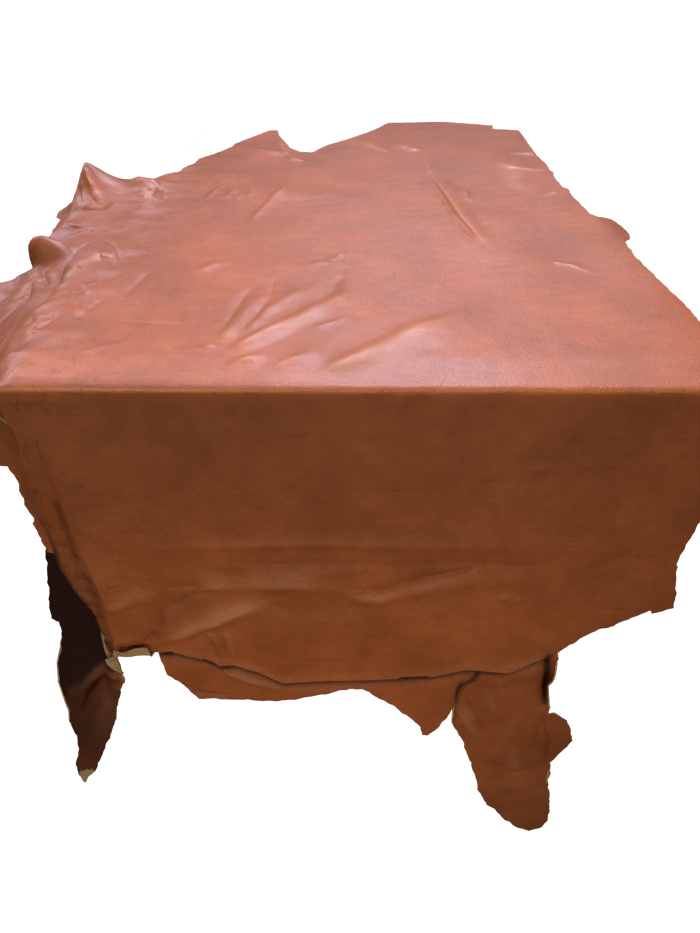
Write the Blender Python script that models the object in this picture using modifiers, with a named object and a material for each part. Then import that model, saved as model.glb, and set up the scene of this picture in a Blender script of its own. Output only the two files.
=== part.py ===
"""A whole leather hide laid over the end of a plain trestle table.

The hide is one cut piece of leather. It lies grain side up on the table top, turns over the table's front edge
and hangs there with its leg and shank, while its belly margin droops over the left edge. It is cut flat as an
outline, filled with points, draped by a function and thickened.

Units are metres, +Z is up. Tables of the flat hide are in millimetres: "across" runs to the right, and "along"
is 0 at the table's front edge, positive towards the far end and negative down the hanging panel.
"""
import math

import bmesh
import bpy
import numpy as np
from mathutils import Vector, geometry

# Table
TABLE_HEIGHT = 0.910
TABLE_LEFT = -0.410
TABLE_RIGHT = 0.452
TABLE_LENGTH = 1.580
TOP_THICKNESS = 0.036
TOP_EDGE_RADIUS, TOP_EDGE_SEGMENTS = 0.017, 4
TRESTLE_ALONG = (0.760, 1.360)
HEAD_WIDTH, HEAD_DEPTH, HEAD_INSET = 0.060, 0.080, 0.040
POST_SIDE = 0.050
POST_INSET = 0.090
FOOT_LENGTH, FOOT_HEIGHT = 0.340, 0.045
RAIL_DEPTH, RAIL_HEIGHT = 0.060, 0.230
STRETCHER_WIDTH = 0.035
ARRIS = 0.0025

# Leather
HIDE_THICKNESS = 0.0022
GAP = 0.0003
EDGE_CLEARANCE = 0.002
BEND_RADIUS = 0.016
REST_HEIGHT = GAP + HIDE_THICKNESS / 2
FRONT_STANDOFF = EDGE_CLEARANCE + HIDE_THICKNESS / 2
QUARTER = BEND_RADIUS * math.pi / 4
LEFT_BEND = -0.398
RIGHT_BEND = 0.446
FAR_BEND = 1.575
FRONT_EDGE_TURN = 0.012
RIGHT_SAG, FAR_SAG = 3.0, 1.0

# Belly margin over the left edge: along (mm), angle below level (degrees), radius of its bend (mm)
MARGIN = ((0, 89, 16), (20, 88, 17), (40, 84, 26), (70, 72, 34), (110, 52, 50), (200, 40, 70), (300, 28, 90),
          (400, 20, 110), (560, 14, 150), (900, 12, 150), (1700, 10, 150))
# The free front edge of the margin swings in behind the panel: how far, over which stretch along the hide, and
# over which fall
FLAP_SWING = 0.036
FLAP_SWING_ALONG = (0.014, 0.050)
FLAP_SWING_FALL = (0.038, 0.073)

# The flat outline, clockwise from the far end of the belly margin. Columns: across, along (mm)
BELLY = ((-600, 445), (-585, 490), (-557, 520), (-550, 585), (-535, 617), (-548, 655), (-558, 733),
         (-578, 762), (-586, 795), (-588, 845), (-570, 905), (-520, 960), (-492, 905), (-468, 875), (-440, 884),
         (-412, 905), (-400, 936), (-376, 995), (-353, 1140), (-296, 1290))
NECK = ((-293, 1322), (-218, 1490), (-197, 1490), (-189, 1423), (-150, 1275), (-123, 1240), (-93, 1229),
        (-61, 1298), (0, 1392), (60, 1500), (93, 1580), (134, 1700), (194, 1684), (226, 1704), (305, 1610),
        (401, 1564), (389, 1520), (463, 1506))
BACKBONE = ((461, 1430), (450, 1200), (454, 1100), (449, 1045), (452, 1020), (445, 980), (445, 900),
            (453, 880), (448, 830), (451, 700), (459, 680), (486, 677), (494, 640), (494, 592), (484, 556),
            (467, 530), (460, 449), (465, 330), (470, 256), (466, 180), (470, 90), (468, 0))
PANEL_RIGHT = ((463, -50), (452, -120), (445, -186), (436, -220), (431, -258), (437, -286), (444, -322),
               (446, -338), (417, -348), (413, -342), (376, -364), (369, -371), (349, -377), (312, -407),
               (298, -424), (300, -438))
SHANK = ((300, -460), (301, -512), (309, -573), (319, -573), (343, -597), (353, -624), (360, -648),
         (346, -672), (329, -700), (335, -726), (332, -744), (339, -775), (347, -822), (350, -867),
         (341, -886), (319, -891), (273, -859), (253, -829), (235, -811), (219, -776), (208, -730),
         (189, -670), (158, -572), (182, -466))
FLANK = ((149, -567), (132, -598), (122, -610), (113, -609), (110, -590), (93, -567), (62, -536), (19, -503),
         (0, -503), (-58, -519), (-75, -524), (-108, -531), (-166, -530), (-229, -530), (-256, -492),
         (-271, -479), (-284, -432), (-312, -433), (-330, -430), (-337, -438), (-338, -454))
LEG = ((-331, -482), (-343, -509), (-355, -545), (-369, -597), (-385, -636), (-406, -680), (-422, -715),
       (-431, -724), (-443, -744), (-451, -722), (-449, -690), (-438, -658), (-434, -626), (-438, -592),
       (-435, -561), (-445, -510), (-443, -479), (-433, -448), (-430, -428), (-431, -411), (-441, -403))
PANEL_LEFT = ((-439, -378), (-426, -309), (-410, -234), (-404, -193), (-401, -150), (-396, -105),
              (-391, -75), (-394, -54), (-401, -32), (-409, -14), (-416, 6))
FLANK_EDGE = ((-440, 13), (-500, 13), (-560, 13), (-620, 13), (-660, 16), (-669, 27), (-637, 30), (-592, 34),
              (-572, 36), (-554, 38), (-544, 41), (-551, 49), (-572, 64), (-600, 95), (-622, 150), (-632, 220),
              (-626, 300), (-614, 370))

# Relief of the leather on the table: how high it swells, how far the rim of the left edge lifts it, and the stretch
# behind the bend over which the relief starts
SWELL, SWELL_WAVES = 0.0012, (9.0, 4.0, -3.0, 7.0)
RIM_LIFT = 0.0015
RIM_REACH = (0.010, 0.050)
TOP_FADE = 0.080
WELT_FADE = 1 / 3
# Soft welts, each fading out over a share of its length.
# Columns: start across, start along, end across, end along, height, half width (mm)
WELTS = ((181, 1229, 198, 860, 5, 24), (198, 880, 228, 520, 5, 26), (34, 1410, 98, 1229, 4, 20),
         (104, 1370, 176, 1220, 4, 20), (-121, 1000, -190, 650, 4, 18), (431, 1026, 300, 800, 4, 28),
         (392, 1240, 355, 880, 4, 26), (-443, 430, -434, 235, 9, 18), (-409, 215, -404, 115, 7, 14),
         (-474, 345, -468, 190, 8, 16), (-357, 290, -365, 180, 5, 16), (-402, 920, -396, 750, 10, 22),
         (-470, 640, -400, 560, 7, 20))
# Pointed folds of the belly margin. Columns: across, along, height, width to the left, to the right, and along (mm)
PEAKS = ((-502, 808, 97, 44, 74, 95), (-512, 650, 22, 50, 50, 60))
PEAK_TIP = 0.15
PEAK_STEEPNESS = 1.6
# The stiff curl that stands on the belly margin, as a flat-topped welt. Columns as in WELTS
CURL = (-552, 474, -478, 480, 44, 18)
CURL_FLATNESS = 2.6
CURL_FADE = 0.16

# Relief of the hanging panel: where it starts below the bend, and the drops over which it grows
FRONT_FADE = 0.040
HANG_DROPS = (0.050, 0.350)
PANEL_WAVE, PANEL_WAVES = 0.003, 8.0
# Front folds. Columns: drop below the edge, across (mm)
FOLD_LINE = ((0, -376), (92, -371), (136, -363), (191, -360), (239, -354), (279, -347), (320, -340),
             (387, -339), (450, -336), (900, -336))
POCKET_LINE = ((0, -395), (150, -388), (207, -384), (279, -385), (320, -374), (367, -357), (393, -352),
               (450, -350), (900, -350))
FOLD_STEP, FOLD_WIDTH = 0.009, 0.008
FOLD_SWELL, FOLD_SWELL_AWAY, FOLD_SWELL_WIDTH = 0.005, 0.018, 0.022
POCKET_DEPTH, POCKET_WIDTH = 0.030, 0.030
POCKET_ENDS = (0.370, 0.620)
# The line where the panel laps over the leather behind it. Columns: across, along (mm)
LAP_LINE = ((-300, -430), (-283, -434), (-218, -446), (-161, -457), (-97, -494), (0, -482), (131, -475),
            (202, -464), (283, -440), (300, -426))
LAP_STEP = 0.010
LAP_HALF_WIDTH = 0.004
LAP_ENDS = (-0.285, 0.292)
LAP_FADE = 0.012
# The shank: where it starts across and down, how far it hangs back, its cupping about its middle, and its shift
SHANK_ACROSS, SHANK_DROPS = (0.155, 0.175), (0.470, 0.520)
SHANK_SHIFT_ACROSS, SHANK_SHIFT_DROPS = (0.200, 0.300), (0.570, 0.650)
SHANK_MIDDLE = 0.260
SHANK_BACK, SHANK_CUP, SHANK_SHIFT = 0.011, 0.9, 0.012
# Welts of the hanging panel, towards the front. Columns as in WELTS
SWAGS = ((-311, -343, -202, -304, 7, 16), (-215, -306, 10, -304, 6, 16), (0, -304, 55, -316, 5, 14),
         (41, -318, 190, -268, 6, 16), (-293, -413, -263, -356, -5, 10), (-241, -388, -82, -324, 6, 16),
         (-261, -234, 404, -234, 4, 14), (-429, -508, -334, -474, 9, 16), (164, -500, 216, -620, 7, 18))

# Distances wanted between points of the flat hide, and how fast they grow away from the front bend
SPACING_TOP = 0.050
GROWTH_TOP, GROWTH_FRONT = 0.35, 0.4
WIDER_ON_TOP = 0.012
SPACING_BEND_ACROSS = 0.030
SPACING_FRONT = 0.025
SPACING_MARGIN = 0.021
SPACING_LEG = 0.013
SPACING_BEND = 0.009
SPACING_LAP = 0.020
OUTLINE_SPACING = 0.024
BEND_ROWS = 6
LEG_RIGHT = -0.325
MARGIN_STRIP = 0.060
EDGE_STRIP = (-0.045, 0.010)
# Rings of points about each peak: distance in shares of the peak's own widths, number of points
PEAK_RINGS = ((0.15, 5), (0.40, 9), (0.75, 12))
CLOSEST = 0.4
OUTLINE_CLEAR = 0.010

WHITE, WHITE_ROUGHNESS = (0.86, 0.86, 0.85), 0.45
BROWN, BROWN_ROUGHNESS = (0.36, 0.10, 0.045), 0.42

MM = 0.001


def smooth(t):
    t = np.clip(t, 0.0, 1.0)
    return t * t * (3.0 - 2.0 * t)


def rise(values, limits):
    """Smoothly from 0 at the first limit to 1 at the second."""
    return smooth((values - limits[0]) / (limits[1] - limits[0]))


def read(table, column, at):
    """A column of a table whose first column rises, read at the values given."""
    rows = np.array(table, float) * MM
    return np.interp(at, rows[:, 0], rows[:, column])


def from_line(line, u, v):
    """Each point's distance from a straight line (start across and along, end across and along) and its share of
    the way along it."""
    u0, v0, u1, v1 = line
    t = ((u - u0) * (u1 - u0) + (v - v0) * (v1 - v0)) / ((u1 - u0) ** 2 + (v1 - v0) ** 2)
    t = np.clip(t, 0.0, 1.0)
    return np.hypot(u - u0 - t * (u1 - u0), v - v0 - t * (v1 - v0)), t


def welts(table, u, v):
    """The heights of soft ridges along straight lines, each fading out at its ends."""
    height = np.zeros_like(u)
    for row in table:
        *line, high, half_width = (value * MM for value in row)
        away, t = from_line(line, u, v)
        ends = smooth(t / WELT_FADE) * smooth((1.0 - t) / WELT_FADE)
        height += high * ends * np.exp(-(away / half_width) ** 2)
    return height


def peaks(u, v):
    """Cones with a rounded tip and hollow flanks."""
    height = np.zeros_like(u)
    for row in PEAKS:
        u0, v0, high, left, right, half_v = (value * MM for value in row)
        away = np.hypot((u - u0) / np.where(u < u0, left, right), (v - v0) / half_v)
        height += high * np.exp(-PEAK_STEEPNESS * (np.hypot(away, PEAK_TIP) - PEAK_TIP))
    return height


def curl(u, v):
    """A blunt, flat-topped roll."""
    *line, high, half_width = (value * MM for value in CURL)
    away, t = from_line(line, u, v)
    ends = smooth(t / CURL_FADE) * smooth((1.0 - t) / CURL_FADE)
    return high * ends * np.exp(-(away / half_width) ** CURL_FLATNESS)


def top_relief(u, v):
    """How far the leather lifts off the table: never below zero."""
    a, b, c, d = SWELL_WAVES
    swell = SWELL * (1.0 + np.sin(a * u + b * v + 1.0) * np.sin(c * u + d * v))
    rim = RIM_LIFT * rise(LEFT_BEND - u, (-RIM_REACH[1], -RIM_REACH[0]))
    return (swell + rim + welts(WELTS, u, v) + peaks(u, v) + curl(u, v)) * smooth((v - QUARTER) / TOP_FADE)


def front_relief(u, v):
    """How far the hanging leather stands forward of the panel's plane. Also the sideways shift of the shank."""
    drop = -v
    hang = rise(drop, HANG_DROPS)
    fold_line = read(FOLD_LINE, 1, drop)
    pocket_line = read(POCKET_LINE, 1, drop)
    past_fold = smooth((fold_line - u) / FOLD_WIDTH + 0.5)
    past_pocket = smooth((pocket_line - u) / POCKET_WIDTH) * (1.0 - rise(drop, POCKET_ENDS))
    relief = FOLD_SWELL * hang * np.exp(-((u - fold_line - FOLD_SWELL_AWAY) / FOLD_SWELL_WIDTH) ** 2)
    relief -= hang * (FOLD_STEP * past_fold + POCKET_DEPTH * past_pocket)
    lap = read(LAP_LINE, 1, u)
    lap_ends = smooth((u - LAP_ENDS[0]) / LAP_FADE) * smooth((LAP_ENDS[1] - u) / LAP_FADE)
    relief -= LAP_STEP * smooth((lap - v) / (2 * LAP_HALF_WIDTH) + 0.5) * lap_ends
    relief += welts(SWAGS, u, v)
    relief += PANEL_WAVE * hang * np.sin(PANEL_WAVES * u + 1.0)
    shank = rise(u, SHANK_ACROSS) * rise(drop, SHANK_DROPS)
    relief -= shank * (SHANK_BACK + SHANK_CUP * (u - SHANK_MIDDLE) ** 2)
    shift = shank * (1.0 - rise(u, SHANK_SHIFT_ACROSS)) * (1.0 - rise(drop, SHANK_SHIFT_DROPS))
    return relief, -SHANK_SHIFT * shift


def over_front_edge(v):
    """Distances back from the table's front face and up from its top, round the front bend."""
    turn = np.clip((QUARTER - v) / (2 * QUARTER), 0.0, 1.0) * math.pi / 2
    y = BEND_RADIUS - FRONT_STANDOFF - BEND_RADIUS * np.sin(turn) + np.maximum(v - QUARTER, 0.0)
    z = REST_HEIGHT - BEND_RADIUS * (1.0 - np.cos(turn)) - np.maximum(-QUARTER - v, 0.0)
    return y, z


def over_left_edge(over, v):
    """How far the margin reaches out and falls, and how far it tilts, for each distance past the left bend."""
    rows = np.array(MARGIN, float)
    angle = np.radians(np.interp(v, rows[:, 0] * MM, rows[:, 1]))
    radius = np.interp(v, rows[:, 0] * MM, rows[:, 2]) * MM
    bent = np.minimum(over / radius, angle)
    beyond = np.maximum(over - radius * angle, 0.0)
    reach = radius * np.sin(bent) + beyond * np.cos(angle)
    fall = radius * (1.0 - np.cos(bent)) + beyond * np.sin(angle)
    return reach, fall, bent


def drape(u, v):
    """Where points of the flat hide lie, as rows of x, y, z, with z = 0 at the table's top face."""
    y, z = over_front_edge(v)
    over = np.maximum(LEFT_BEND - u, 0.0)
    reach, fall, bent = over_left_edge(over, v)
    hanging = smooth(v / FRONT_EDGE_TURN)
    x = np.where(over > 0.0, LEFT_BEND - over + hanging * (over - reach), u)
    swing = (1.0 - rise(v, FLAP_SWING_ALONG)) * rise(fall, FLAP_SWING_FALL)
    x = x + FLAP_SWING * hanging * swing
    z = z - hanging * fall
    on_top = smooth((v + QUARTER) / (2 * QUARTER))
    sag = RIGHT_SAG * np.maximum(u - RIGHT_BEND, 0.0) ** 2 + FAR_SAG * np.maximum(v - FAR_BEND, 0.0) ** 2
    z = z - on_top * sag

    front, shift = front_relief(u, v)
    front = front * smooth(-(v + QUARTER) / FRONT_FADE)
    lift = top_relief(u, v)
    tilt = bent * hanging
    x = x + shift - lift * np.sin(tilt)
    y = y - front
    z = z + lift * np.cos(tilt)
    return np.stack((x, y, z), axis=1)


def outline():
    """The flat outline in metres, with long stretches divided."""
    corners = np.array(BELLY + NECK + BACKBONE + PANEL_RIGHT + SHANK + FLANK + LEG + PANEL_LEFT + FLANK_EDGE,
                       float) * MM
    points = []
    for start, end in zip(corners, np.roll(corners, -1, axis=0)):
        count = max(1, math.ceil(np.linalg.norm(end - start) / OUTLINE_SPACING))
        points += [start + (end - start) * step / count for step in range(count)]
    return np.array(points)


def spacing(u, v):
    """The distance wanted between points of the flat hide."""
    if v > QUARTER:
        near_bend = SPACING_BEND + GROWTH_TOP * (v - QUARTER)
        if u < LEFT_BEND + MARGIN_STRIP:
            return min(SPACING_MARGIN, near_bend)
        return min(SPACING_TOP, near_bend + WIDER_ON_TOP)
    return SPACING_LEG if u < LEG_RIGHT else SPACING_FRONT


def along_rows(low, high):
    """Row positions along the hide, close together over the front bend."""
    rows = [QUARTER * (1 - 2 * step / BEND_ROWS) for step in range(BEND_ROWS + 1)]
    v = QUARTER
    while v < high:
        v += spacing(0.0, v)
        rows.append(v)
    v = -QUARTER
    while v > low:
        v -= min(SPACING_FRONT, SPACING_BEND + GROWTH_FRONT * (-QUARTER - v))
        rows.append(v)
    return sorted(rows)


def row_step(u, v):
    """The distance to the next point of a row, close together over the table's edges."""
    if abs(v) <= QUARTER:
        return SPACING_BEND_ACROSS if u > LEFT_BEND else SPACING_BEND
    if v > 0 and EDGE_STRIP[0] < u - LEFT_BEND < EDGE_STRIP[1]:
        return SPACING_BEND
    return spacing(u, v)


def inside(points, ring):
    """Whether each point is inside the ring, by crossings."""
    x, y = points[:, :1], points[:, 1:]
    x0, y0 = ring[:, 0], ring[:, 1]
    x1, y1 = np.roll(x0, -1), np.roll(y0, -1)
    straddles = (y0 > y) != (y1 > y)
    safe = np.where(y1 == y0, 1.0, y1 - y0)
    crossing = x < (x1 - x0) * (y - y0) / safe + x0
    return (straddles & crossing).sum(axis=1) % 2 == 1


def nearest(points, ring):
    """Each point's distance to the closed ring."""
    start, end = ring, np.roll(ring, -1, axis=0)
    way = end - start
    t = ((points[:, None] - start) * way).sum(axis=2) / (way ** 2).sum(axis=1)
    foot = start + np.clip(t, 0.0, 1.0)[..., None] * way
    return np.linalg.norm(points[:, None] - foot, axis=2).min(axis=1)


def lap_points():
    """Two rows of points, one on each side of the lap line."""
    across = np.arange(LAP_ENDS[0], LAP_ENDS[1], SPACING_LAP)
    line = read(LAP_LINE, 1, across)
    rows = [np.stack((across, line + side * LAP_HALF_WIDTH), axis=1) for side in (-1, 1)]
    return np.concatenate(rows)


def peak_points():
    """Each peak's tip and rings of points about it."""
    points = []
    for u0, v0, _, left, right, half_v in PEAKS:
        points.append((u0, v0))
        for share, count in PEAK_RINGS:
            for step in range(count):
                angle = 2 * math.pi * step / count
                wide = right if math.cos(angle) > 0 else left
                points.append((u0 + share * wide * math.cos(angle), v0 + share * half_v * math.sin(angle)))
    return np.array(points) * MM


def grid_points(ring):
    low, high = ring.min(axis=0), ring.max(axis=0)
    points = []
    for index, v in enumerate(along_rows(low[1], high[1])):
        stagger = 0.0 if abs(v) <= 2 * QUARTER else 0.5 * (index % 2)
        u = low[0] + stagger * SPACING_LEG
        while u < high[0]:
            points.append((u, v))
            u += row_step(u, v)
    return np.array(points)


def fill_points(ring):
    """Inner points that keep their distance from the outline and from one another."""
    kept = np.concatenate((lap_points(), peak_points()))
    kept = kept[inside(kept, ring) & (nearest(kept, ring) > CLOSEST * OUTLINE_SPACING / 2)]
    grid = grid_points(ring)
    room = np.array([CLOSEST * min(spacing(u, v), row_step(u, v)) for u, v in grid])
    apart = np.linalg.norm(grid[:, None] - kept, axis=2).min(axis=1)
    clear = nearest(grid, ring) > np.minimum(room, OUTLINE_CLEAR)
    return np.concatenate((kept, grid[inside(grid, ring) & clear & (apart > room)]))


def leather_surface():
    """The draped hide as an open surface, its faces' normals on the grain side."""
    ring = outline()
    points = np.concatenate((ring, fill_points(ring)))
    loop = [(index, (index + 1) % len(ring)) for index in range(len(ring))]
    flat, _, faces, *_ = geometry.delaunay_2d_cdt([Vector(p) for p in points], loop, [], 1, 1e-6)
    flat = np.array([tuple(p) for p in flat])
    mesh = bpy.data.meshes.new("hide")
    mesh.from_pydata(drape(flat[:, 0], flat[:, 1]).tolist(), [], faces)
    mesh.shade_smooth()
    return mesh


def material(name, colour, roughness):
    made = bpy.data.materials.new(name)
    made.use_nodes = True
    shader = made.node_tree.nodes["Principled BSDF"]
    shader.inputs["Base Color"].default_value = (*colour, 1.0)
    shader.inputs["Roughness"].default_value = roughness
    made.diffuse_color = (*colour, 1.0)
    return made


def place(name, mesh, finish, parent, collection, location=(0.0, 0.0, 0.0)):
    made = bpy.data.objects.new(name, mesh)
    mesh.materials.append(finish)
    made.parent = parent
    made.location = location
    collection.objects.link(made)
    return made


def board(name, low, high, finish, parent, collection, radius=ARRIS, segments=1):
    """A straight piece of timber between two corners, with eased edges."""
    low, high = Vector(low), Vector(high)
    mesh = bpy.data.meshes.new(name)
    shape = bmesh.new()
    bmesh.ops.create_cube(shape, size=1.0)
    bmesh.ops.scale(shape, vec=high - low, verts=shape.verts)
    shape.to_mesh(mesh)
    shape.free()
    made = place(name, mesh, finish, parent, collection, (low + high) / 2)
    eased = made.modifiers.new("eased edges", "BEVEL")
    eased.width = radius
    eased.segments = segments
    return made


def trestle(label, along, finish, parent, collection):
    """Head beam, two posts, two feet and a low rail, each GAP from the next."""
    head_top = -TOP_THICKNESS - GAP
    head_low = head_top - HEAD_DEPTH
    floor = -TABLE_HEIGHT
    left, right = TABLE_LEFT + HEAD_INSET, TABLE_RIGHT - HEAD_INSET
    board(f"{label}_head", (left, along - HEAD_WIDTH / 2, head_low), (right, along + HEAD_WIDTH / 2, head_top),
          finish, parent, collection)
    posts = {"left": TABLE_LEFT + POST_INSET, "right": TABLE_RIGHT - POST_INSET}
    for side, across in posts.items():
        low, high = across - POST_SIDE / 2, across + POST_SIDE / 2
        board(f"{label}_{side}_post", (low, along - POST_SIDE / 2, floor + FOOT_HEIGHT + GAP),
              (high, along + POST_SIDE / 2, head_low - GAP), finish, parent, collection)
        board(f"{label}_{side}_foot", (low, along - FOOT_LENGTH / 2, floor),
              (high, along + FOOT_LENGTH / 2, floor + FOOT_HEIGHT), finish, parent, collection)
    clear = POST_SIDE / 2 + GAP
    board(f"{label}_rail", (posts["left"] + clear, along - POST_SIDE / 4, floor + RAIL_HEIGHT),
          (posts["right"] - clear, along + POST_SIDE / 4, floor + RAIL_HEIGHT + RAIL_DEPTH),
          finish, parent, collection)


def table(parent, collection):
    white = material("table white", WHITE, WHITE_ROUGHNESS)
    board("table_top", (TABLE_LEFT, 0.0, -TOP_THICKNESS), (TABLE_RIGHT, TABLE_LENGTH, 0.0),
          white, parent, collection, TOP_EDGE_RADIUS, TOP_EDGE_SEGMENTS)
    for label, along in zip(("front", "back"), TRESTLE_ALONG):
        trestle(label, along, white, parent, collection)
    centre = (TABLE_LEFT + TABLE_RIGHT) / 2
    clear = POST_SIDE / 4 + GAP
    low = -TABLE_HEIGHT + RAIL_HEIGHT
    board("stretcher", (centre - STRETCHER_WIDTH / 2, TRESTLE_ALONG[0] + clear, low),
          (centre + STRETCHER_WIDTH / 2, TRESTLE_ALONG[1] - clear, low + RAIL_DEPTH), white, parent, collection)


def hide(parent, collection):
    brown = material("brown leather", BROWN, BROWN_ROUGHNESS)
    made = place("hide", leather_surface(), brown, parent, collection)
    thick = made.modifiers.new("leather thickness", "SOLIDIFY")
    thick.thickness = HIDE_THICKNESS
    thick.offset = 0.0
    return made


def stand_on_floor(root):
    """Moves the root so that the whole box stands on z = 0 with its centre on the Z axis."""
    bpy.context.view_layer.update()
    graph = bpy.context.evaluated_depsgraph_get()
    corners = []
    for made in root.children:
        shape = made.evaluated_get(graph)
        corners += [shape.matrix_world @ Vector(corner) for corner in shape.bound_box]
    low = [min(corner[axis] for corner in corners) for axis in range(3)]
    high = [max(corner[axis] for corner in corners) for axis in range(3)]
    root.location = (-(low[0] + high[0]) / 2, -(low[1] + high[1]) / 2, TABLE_HEIGHT)
    bpy.context.view_layer.update()


def main():
    for old in list(bpy.data.objects):
        bpy.data.objects.remove(old, do_unlink=True)
    collection = bpy.data.collections.new("leather hide on a table")
    bpy.context.scene.collection.children.link(collection)
    root = bpy.data.objects.new("leather_hide_on_table", None)
    collection.objects.link(root)
    table(root, collection)
    hide(root, collection)
    stand_on_floor(root)


main()
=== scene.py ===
"""The looks of a whole leather hide laid over the end of a white trestle table.

The leather is one thin sheet: a flat cut outline, filled with points, draped by the same function as the CAD
solid, with the photo's creases, laps and rolled edges added from short tables. Tables of outlines, paths and folds
are in millimetres on the flat hide: "across" runs to the right, "along" is 0 at the table's front edge, positive
towards the far end and negative down the hanging panel. Every other length is in metres, +Z up.
"""
import math

import bpy
import numpy as np
from mathutils import Matrix, Vector, geometry


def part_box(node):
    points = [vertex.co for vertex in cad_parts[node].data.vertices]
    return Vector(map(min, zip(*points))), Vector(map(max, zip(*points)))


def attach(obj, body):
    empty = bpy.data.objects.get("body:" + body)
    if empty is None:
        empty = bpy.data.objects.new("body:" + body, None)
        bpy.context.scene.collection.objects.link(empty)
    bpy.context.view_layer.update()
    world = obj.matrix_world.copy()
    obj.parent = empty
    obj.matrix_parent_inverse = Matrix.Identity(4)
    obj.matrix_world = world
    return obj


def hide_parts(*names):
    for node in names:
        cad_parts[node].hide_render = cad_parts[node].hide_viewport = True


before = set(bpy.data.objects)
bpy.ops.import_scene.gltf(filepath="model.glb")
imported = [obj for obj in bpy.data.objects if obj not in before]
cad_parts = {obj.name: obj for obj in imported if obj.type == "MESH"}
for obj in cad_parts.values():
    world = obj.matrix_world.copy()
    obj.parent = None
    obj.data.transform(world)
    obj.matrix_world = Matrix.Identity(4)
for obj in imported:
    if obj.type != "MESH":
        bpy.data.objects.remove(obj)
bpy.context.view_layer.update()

MM = 0.001

# The origin of the hide's own coordinates: the middle of the table's front edge, on its top face
TABLE_LEFT = -0.410
TOP_LOW, TOP_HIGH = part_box("table_top")
ORIGIN = Vector((TOP_LOW.x - TABLE_LEFT, TOP_LOW.y, TOP_HIGH.z))

# Leather
HIDE_THICKNESS = 0.0022
GAP = 0.0003
EDGE_CLEARANCE = 0.002
REST_HEIGHT = GAP + HIDE_THICKNESS / 2
FRONT_STANDOFF = EDGE_CLEARANCE + HIDE_THICKNESS / 2

# Half of the hide's length round the CAD's bend at the front edge
QUARTER = 0.0126
# Where the leather starts to leave the table at its other edges, and how steeply it sags there
LEFT_BEND, RIGHT_BEND, FAR_BEND = -0.398, 0.446, 1.575
RIGHT_SAG, FAR_SAG = 3.0, 1.0
# Radius of the bend over the front edge: tighter at the left. Columns: across, radius
BEND = ((-450, 6.5), (-300, 7), (-120, 7.5), (0, 8), (500, 8))
# The stiff leather stands off the table behind the bend. Columns: across, height, how much it falls by the bend
FOLD_RISE = ((-450, 8.8, 4.6), (-330, 8.4, 4.5), (-200, 5.8, 3.0), (0, 3.2, 1.5), (500, 3.0, 1.4))
RISE_CREST = 0.020
RISE_REACH = 0.17

# Belly margin over the left edge. Columns: along, angle below level (degrees), radius of its bend
MARGIN = ((0, 89, 16), (20, 88, 17), (40, 84, 26), (70, 72, 34), (110, 52, 50), (200, 40, 70), (300, 28, 90),
          (400, 20, 110), (560, 14, 150), (900, 12, 150), (1700, 10, 150))
# How far the margin's free front edge swings in behind the panel, up to where along and from which fall on, each
# with the length over which it does so
FLAP_SWING = 0.036
FLAP_SWING_ALONG = (0.050, 0.036)
FLAP_SWING_FALL = (0.038, 0.035)

# The flat outline, clockwise from the far end of the belly margin. Columns: across, along
BELLY = ((-600, 445), (-585, 490), (-557, 520), (-550, 585), (-535, 617), (-548, 655), (-558, 733),
         (-578, 762), (-586, 795), (-588, 845), (-570, 905), (-520, 960), (-492, 905), (-468, 875), (-440, 884),
         (-412, 905), (-400, 936), (-376, 995), (-353, 1140), (-296, 1290))
NECK = ((-293, 1322), (-218, 1490), (-197, 1490), (-189, 1423), (-150, 1275), (-123, 1240), (-93, 1229),
        (-61, 1298), (0, 1392), (60, 1500), (93, 1580), (134, 1700), (194, 1684), (226, 1704), (305, 1610),
        (401, 1564), (389, 1520), (463, 1506))
BACKBONE = ((461, 1430), (450, 1200), (454, 1100), (449, 1045), (452, 1020), (445, 980), (445, 900),
            (453, 880), (448, 830), (451, 700), (459, 680), (486, 677), (494, 640), (494, 592), (484, 556),
            (467, 530), (460, 449), (465, 330), (470, 256), (466, 180), (470, 90), (468, 0))
PANEL_RIGHT = ((463, -50), (452, -120), (445, -186), (436, -220), (431, -258), (437, -286), (444, -322),
               (446, -338), (417, -348), (413, -342), (376, -364), (369, -371), (349, -377), (312, -407),
               (298, -424), (300, -438))
SHANK = ((300, -460), (301, -512), (309, -573), (319, -573), (343, -597), (353, -624), (360, -648),
         (346, -672), (329, -700), (335, -726), (332, -744), (339, -775), (347, -822), (350, -867),
         (341, -886), (319, -891), (273, -859), (253, -829), (235, -811), (219, -776), (208, -730),
         (189, -670), (158, -572), (182, -466))
FLANK = ((149, -567), (132, -598), (122, -610), (113, -609), (110, -590), (93, -567), (62, -536), (19, -503),
         (0, -503), (-58, -519), (-75, -524), (-108, -531), (-166, -530), (-229, -530), (-256, -492),
         (-271, -479), (-279, -428), (-312, -426), (-330, -422), (-338, -430), (-339, -448))
LEG = ((-331, -482), (-343, -509), (-355, -545), (-369, -597), (-385, -636), (-406, -680), (-422, -715),
       (-431, -724), (-443, -744), (-451, -722), (-449, -690), (-438, -658), (-434, -626), (-438, -592),
       (-435, -561), (-445, -510), (-443, -479), (-433, -448), (-430, -428), (-431, -411), (-441, -403))
PANEL_LEFT = ((-439, -378), (-426, -309), (-410, -234), (-404, -193), (-401, -150), (-396, -105),
              (-391, -75), (-394, -54), (-401, -32), (-409, -14), (-416, 6))
FLANK_EDGE = ((-440, 13), (-500, 13), (-560, 13), (-620, 13), (-660, 16), (-669, 27), (-637, 30), (-592, 34),
              (-572, 36), (-554, 38), (-544, 41), (-551, 49), (-572, 64), (-600, 95), (-622, 150), (-632, 220),
              (-626, 300), (-614, 370))

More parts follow.
